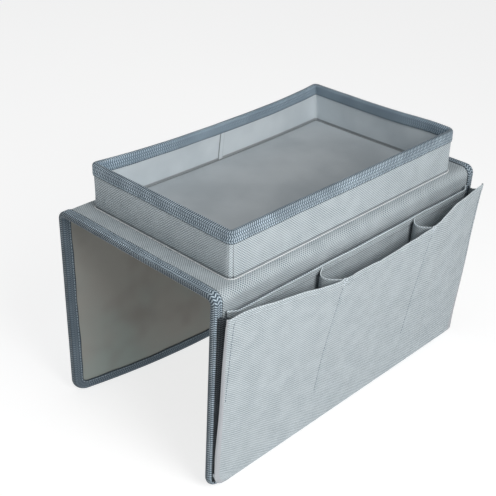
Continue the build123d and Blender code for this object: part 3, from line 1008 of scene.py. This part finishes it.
innerX = steps((-innerPocket["reach"], -innerPocket["flatReach"], innerPocket["flatReach"],
                innerPocket["reach"]), (8, 90, 8))
hemEnd = innerPocket["drop"] + pocket["hem"]
innerRows = steps((innerPocket["drop"], hemEnd, hemEnd + 1.2, innerPocket["footDrop"]), (5, 4, 50))
innerPanel = layGrid("innerPocketPanel", innerX, innerRows, innerShape, (0, -1, 0), None,
                     innerPocket["cloth"])
dress(innerPanel, "innerPocket", "cover_cloth", "inner_pocket_panel", "inner_pocket_hem", body="front_flap")


web = {
    "mouth": 17.6,
    "foot": 149.0,
    "underMouth": 1.2,            # how far below the pocket's mouth it begins
    "gap": 0.15,                  # between it and the cloth that it is sewn to
    "depth": 28.0,
    "areaShare": 0.62,            # it tapers to its foot
    "cloth": 0.7,
    "skews": (7.5, 3.0),          # of the left and the right divider, at the mouth
    "bulges": (12.0, 9.0),        # how far the slack of each lies to the left
    "backX": -1.0,                # where it is sewn to the inner pocket
    "unskewed": 110.0,            # the drop at which its front edge has come back over its rear one
}
webs = list(zip(pocket["dividers"], web["skews"]))


def skewed(x, skew, drop):  # the line that a divider is sewn to the front pocket along
    return x + skew * ease((web["unskewed"] - drop) / web["unskewed"] * 1.4)


frontPocket = {
    "columns": (5, 48, 20, 50, 18, 40, 5),   # closer together beside the dividers
    "rows": (5, 4, 60, 6),
    "lip": 6.0,                   # the turned-in band down each side
    "taper": 44.0,                # how far in from each side edge its columns are drawn in or out
    "seamShift": 0.87,            # how much of that the stitches along the sides follow
    "tuck": 2.2,                  # how far the side edges curl back towards the flap
    "footTuck": (2.5, 0.5),       # its foot curls back too: over this drop, and this far
    "hemRise": 0.35,
    "groove": 1.1,                # along each divider's stitching
    "grooveWidth": 1.8,
    "folds": [                    # soft upright folds: x at the mouth, x at the foot, height, half width
        (-148.0, -142.0, 0.8, 9.0), (-96.0, -100.0, -0.9, 12.0), (2.0, -6.0, 1.0, 14.0),
        (38.0, 30.0, -0.8, 9.0), (98.0, 92.0, 1.3, 8.0), (116.0, 112.0, -1.2, 8.0),
        (140.0, 150.0, 1.1, 9.0),
    ],
    "puckers": [(6.0, 6.0, 1.6), (-6.0, 10.0, 1.3), (9.0, 17.0, 1.2)],   # beside a divider: x, drop, height
    "puckerWidths": (3.2, 7.0, 14.0),    # over its slant, downwards and away from the divider
    "creases": [(-2.0, 5.0, 0.9), (13.0, 10.0, 0.7), (33.0, 11.0, 0.9), (46.0, 8.0, 0.7)],   # under the mouth
    "creaseWidths": (2.6, 6.0),
    "wave": [(0.22, 71.0, 160.0, 0.2), (0.16, 43.0, -120.0, 1.7), (0.1, 23.0, 80.0, 3.3)],
}


def frontStandOff(a, b):
    mouth = mouthDrop(a)
    below = b - mouth
    height = np.clip(1 - below / (pocket["footDrop"] - mouth), 0, 1)
    out = panelStandOff(a, b)
    for topX, footX, size, width in frontPocket["folds"]:
        free = ease(height * 1.6) * (1 - 0.8 * ease((height - 0.75) * 4))
        out = out + size * hill(a, between(topX, footX, 1 - height), width) * free
    for place, skew in webs:
        seamX = skewed(place, skew, b)
        out = out - frontPocket["groove"] * hill(a, seamX, frontPocket["grooveWidth"]) * ease(height * 3)
        slanted, down, away = frontPocket["puckerWidths"]
        for beside, under, size in frontPocket["puckers"]:
            ridge = hill(a - seamX + (below - under) * 0.8, beside, slanted)
            out = out + size * ridge * hill(below, under, down) * hill(a, seamX, away)
    slanted, down = frontPocket["creaseWidths"]
    for placeX, under, size in frontPocket["creases"]:
        out = out + size * hill(a + below - under, placeX, slanted) * hill(below, under, down)
    out = out + waves(a, b, frontPocket["wave"]) * ease(height * 4)
    tuck = frontPocket["tuck"]
    edge = np.clip((np.abs(a) - (pocket["reach"] - tuck)) / tuck, 0, 1)
    out = out - tuck * (1 - np.sqrt(1 - edge ** 2 * 0.98)) * ease(height * 4)
    return out + frontPocket["hemRise"] * ease((pocket["hem"] - below) / pocket["hemStep"])


def frontShape(a, b):
    rise, edge, radius = [np.where(a > 0, ends[1], ends[-1])
                          for ends in (pocket["footRise"], pocket["edges"], pocket["cornerRadii"])]
    middleRise = sum(pocket["footRise"].values()) / 2
    foot = pocket["footDrop"] - between(middleRise, rise, np.abs(a) / pocket["reach"])
    drop = between(mouthDrop(a), foot, b)
    reach = cornered(edge, radius, drop - (foot - radius))
    x = squeezed(a, pocket["reach"] - frontPocket["taper"], reach, pocket["reach"])
    over, back = frontPocket["footTuck"]
    return hung(x, frontStandOff(a, drop) - ease((drop - foot + over) / over) * back, drop)


def frontCloth(a, b):  # its own top edge is straight, and is zero
    return a, b * (pocket["footDrop"] - pocket["edgeDrop"])


hemShare = pocket["hem"] / (pocket["footDrop"] - pocket["edgeDrop"])
panelRows = steps((0, hemShare, hemShare + 0.008, 0.97, 1.0), frontPocket["rows"])
leftSeamX, rightSeamX = pocket["dividers"]
panelX = steps((-pocket["reach"], -pocket["reach"] + 3, leftSeamX - 5, leftSeamX + 13, rightSeamX - 5,
                rightSeamX + 9, pocket["reach"] - 3, pocket["reach"]), frontPocket["columns"])
frontPanel = layGrid("frontPocketPanel", panelX, panelRows, frontShape, (0, -1, 0), frontCloth,
                     pocket["cloth"])
dress(frontPanel, "pocket", "cover_cloth", "front_pocket_panel", "front_pocket_hem", body="front_flap")


# Dividers: slack webs from the inner pocket to the front one, sewn in along both edges

def divider(name, x, node, bulge, skew):
    def shape(a, b):
        drop = between(between(web["mouth"], mouthDrop(x + skew) + web["underMouth"], a), web["foot"], b)
        near = innerStandOff(x, drop) + web["gap"] + pocket["hemThickness"] * (drop < hemEnd)
        far = frontStandOff(skewed(x, skew, drop), drop) - pocket["cloth"] - web["gap"]
        slack = (far - near) / (far - near).max()
        sideways = -bulge * np.sin(math.pi * a ** 0.85) * slack ** 0.5
        sewnX = between(x + web["backX"], skewed(x, skew, drop), a)
        return hung(sewnX + sideways, between(near, far, a), drop)

    piece = layGrid(name, np.linspace(0, 1, 25), steps((0, 0.03, 1), (3, 44)), shape, (-1, 0, 0),
                    lambda a, b: (a * web["depth"], b * (web["foot"] - web["mouth"])), web["cloth"])
    dress(piece, "web", "cover_cloth", node, body="front_flap")
    clothSize(piece)
    math.prod(clothSize(piece)) * web["areaShare"]


for end, x, bulge, skew in zip(("left", "right"), pocket["dividers"], web["bulges"], web["skews"]):
    divider(end + "PocketDivider", x, end + "_pocket_divider", bulge, skew)


gussetShape = {
    "foldIn": 7.0,
    "top": 19.0,
    "foot": 188.0,
    "inset": 1.0,
    "nearX": 171.0,               # where it is sewn to the flap
    "standOff": 1.1,
    "gap": 0.6,                   # between it and the front pocket
    "foldDepth": 12.0,            # the depth at which it folds in by its full amount
    "depth": 22.0,
    "areaShare": 0.55,            # it tapers to its foot
    "cloth": 0.8,
}


def gusset(name, side, node, finish):
    nearX, farX = gussetShape["nearX"], pocket["edges"][side] - gussetShape["inset"]
    length = gussetShape["foot"] - gussetShape["top"]

    def shape(a, b):
        drop = gussetShape["top"] + b * length
        near = gussetShape["standOff"]
        far = panelStandOff(np.full(np.shape(a), side * nearX), drop) - pocket["cloth"] - gussetShape["gap"]
        folded = gussetShape["foldIn"] * np.sin(math.pi * a) * (far - near) / gussetShape["foldDepth"]
        return hung(side * (between(nearX, farX, a) - folded), between(near, far, a), drop)

    piece = layGrid(name, np.linspace(0, 1, 15), np.linspace(0, 1, 45), shape, (side, 0, 0),
                    lambda a, b: (b * length, a * gussetShape["depth"]), gussetShape["cloth"])
    dress(piece, finish, "cover_cloth", node, body="front_flap")
    clothSize(piece)
    math.prod(clothSize(piece)) * gussetShape["areaShare"]


# the left gusset takes a very dark finish, painted shade for the gap beside the pocket; the right one takes
# the dividers' shaded copy of the cover cloth
gusset("leftPocketGusset", -1, "left_pocket_gusset", "gusset")
gusset("rightPocketGusset", 1, "right_pocket_gusset", "web")

bottomSeam = {  # the seam allowances, turned up between the flap and the panel's foot
    "inset": 1.0,
    "near": 0.95,                 # just off the flap's tape
    "gap": 0.1,                   # between it and the front pocket
    "thickness": 1.6,
    "cuts": 80,
    "bendCuts": 8,
}


def footLine():  # places along the panel's foot and up its two corners: x and drop
    corners = []
    for side in (-1, 1):
        radius = pocket["cornerRadii"][side] - bottomSeam["inset"]
        edge = pocket["edges"][side] - bottomSeam["inset"]
        foot = pocket["footDrop"] - pocket["footRise"][side] - bottomSeam["inset"]
        bend = [(side * (edge - radius + radius * math.sin(angle)), foot - radius + radius * math.cos(angle))
                for angle in np.linspace(0, math.pi / 2, bottomSeam["bendCuts"] + 1)]
        corners.append(np.array(bend[::side]))
    left, right = corners
    shares = np.linspace(0, 1, bottomSeam["cuts"] + 1)[1:-1, None]
    return np.concatenate([left, between(left[-1], right[0], shares), right])


seamLine = footLine()


def bottomSeamShape(a, b):
    x, drop = seamLine[a].T
    far = frontStandOff(x, drop) - pocket["cloth"] - bottomSeam["gap"]
    return hung(x, between(bottomSeam["near"], far, b), drop)


seamFold = layGrid("pocketBottomSeam", np.arange(len(seamLine)), np.linspace(0, 1, 4), bottomSeamShape,
                   (-1, 0, 0), None, bottomSeam["thickness"])
dress(seamFold, "coverThread", "cover_cloth", "pocket_bottom_seam", body="front_flap")

sewn = {  # where the pockets' stitches lie
    "above": 0.12,
    "hemIn": 2.6,                 # in from a hem's edge
    "hemEdge": 1.2,               # the same for the lower row on the inner pocket
    "sideEnd": 6.0,               # how far from the panel's sides a row ends
    "sideDrops": (6.0, 88.0),     # down the sides, from the edge of the mouth
    "tacks": [(1.6, 6.0), (3.4, 4.5), (5.4, 3.5), (8.2, 2.5)],    # drop under the mouth, half width
    "tackLift": 0.15,
}


def sewnLine(x, out, drops):
    return stitchRow(lambda height: hung(x, height, drops), out + sewn["above"])


def hemRows():
    reach = pocket["reach"] - sewn["sideEnd"]
    x = np.linspace(-reach, reach, 160)
    drops = mouthDrop(x) + pocket["hem"] - sewn["hemIn"]
    rows = [sewnLine(x, frontStandOff(x, drops), drops)]
    x = np.linspace(-innerPocket["flatReach"], innerPocket["flatReach"], 60)
    for down in (sewn["hemIn"], pocket["hem"] - sewn["hemEdge"]):
        drops = np.full(60, innerPocket["drop"] + down)
        rows.append(sewnLine(x, innerStandOff(x, drops) + pocket["hemThickness"], drops))
    return rows


def tackRows():  # a few long stitches across the top of each divider's seam
    rows = []
    for place, skew in webs:
        for down, wide in sewn["tacks"]:
            x = np.linspace(-wide, wide, 8) + place + skew
            drops = mouthDrop(x) + down
            rows.append(sewnLine(x, frontStandOff(x, drops) + sewn["tackLift"], drops))
    return rows


def seamRows():
    rows = []
    for side in (-1, 1):
        drops = pocket["edgeDrop"] + np.linspace(*sewn["sideDrops"], 60)
        x = side * (pocket["reach"] - frontPocket["lip"] + np.linspace(-0.2, 1.8, 60))
        shift = side * (pocket["edges"][side] - pocket["reach"]) * frontPocket["seamShift"]
        rows.append(sewnLine(x + shift, frontStandOff(x, drops), drops))
    for place, skew in webs:
        drops = np.linspace(float(mouthDrop(place)) + 2, web["foot"], 80)
        x = skewed(place, skew, drops)
        rows.append(sewnLine(x, frontStandOff(x, drops), drops))
    return rows


hemStitches = sew("pocketHemStitches", hemRows(), "hem", "coverThread", "cover_cloth", "front_flap")
seamStitching = sew("pocketSeamStitches", seamRows(), "seam", "seamThread", "cover_cloth", "front_flap")
tacks = sew("pocketTacks", tackRows(), "tack", "tackThread", "cover_cloth", "front_flap")
clothSize(innerPanel)
clothSize(frontPanel)
print("pockets sewn on")


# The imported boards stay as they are, under fibreboard

for name, node in frame["nodes"].items():
    if not node.hide_render:
        node.data.materials.clear()
        node.data.materials.append(finishes["board"])
        print("kept from the frame:", name)


# Stage: floor, daylight and the camera

def makeFloor():
    bpy.ops.object.select_all(action="DESELECT")
    bpy.ops.mesh.primitive_plane_add(size=14, location=(0, 0, (saddle["footZ"] - 0.4) * mm))
    plane = bpy.context.object
    plane.name = "studioFloor"
    finish = Finish("paleFloor", Specular_IOR_Level=0.2)
    where = finish.add("ShaderNodeTexCoord", {}, {}, 3)
    cloudy = finish.noise(where, 2.0, 2.0)
    color = finish.mixed(cloudy, tone(176, 176, 176), tone(172, 173, 174))
    finish.surface.inputs["Emission Color"].default_value = (1.0, 1.0, 1.0, 1.0)
    finish.surface.inputs["Emission Strength"].default_value = 0.75     # a white table lit from below
    plane.data.materials.append(finish.done(color, 0.9 + cloudy * 0.05, cloudy, 0.1))


lights = [  # name, place, aim, size, power and colour
    ("keyLight", (-0.3, -1.2, 0.72), (-1.5, -0.12, -0.08), 1.0, 18.5, (1.0, 0.995, 0.985)),
    ("topLight", (-0.1, 0.1, 1.6), (0.0, 0.0, 0.0), 1.2, 4.4, (0.98, 0.99, 1.0)),
]


def makeLights():
    for name, place, aim, size, power, color in lights:
        lamp = bpy.data.lights.new(name, "AREA")
        lamp.shape = "SQUARE"
        lamp.size = size
        lamp.energy = power
        lamp.color = color
        holder = bpy.data.objects.new(name, lamp)
        holder.location = place
        holder.rotation_euler = (Vector(aim) - Vector(place)).to_track_quat("-Z", "Y").to_euler()
        bpy.context.scene.collection.objects.link(holder)
    world = bpy.data.worlds.new("studio")
    world.use_nodes = True
    backdrop = world.node_tree.nodes["Background"]
    backdrop.inputs["Color"].default_value = (1.0, 1.0, 1.0, 1.0)
    backdrop.inputs["Strength"].default_value = 0.2
    bpy.context.scene.world = world
    bpy.context.scene.view_settings.view_transform = "Standard"


viewpoint = {
    "place": (-612.2, -554.1, 407.2),
    "forward": (0.6263, 0.6033, -0.4937),
    "up": (0.338, 0.3606, 0.8693),
    "lens": 72.37,
    "sensor": 36.0,
}


def makeCamera():
    camera = bpy.data.cameras.new("photoView")
    camera.lens = viewpoint["lens"]
    camera.sensor_width = viewpoint["sensor"]
    camera.clip_start = 0.01
    camera.clip_end = 50
    holder = bpy.data.objects.new("photoView", camera)
    back = -Vector(viewpoint["forward"]).normalized()
    right = Vector(viewpoint["up"]).cross(back).normalized()
    up = back.cross(right)
    turned = Matrix((right, up, back)).transposed().to_4x4()
    holder.matrix_world = Matrix.Translation(Vector(viewpoint["place"]) * mm) @ turned
    bpy.context.scene.collection.objects.link(holder)
    bpy.context.scene.camera = holder


makeFloor()
makeLights()
makeCamera()
print("stage set")
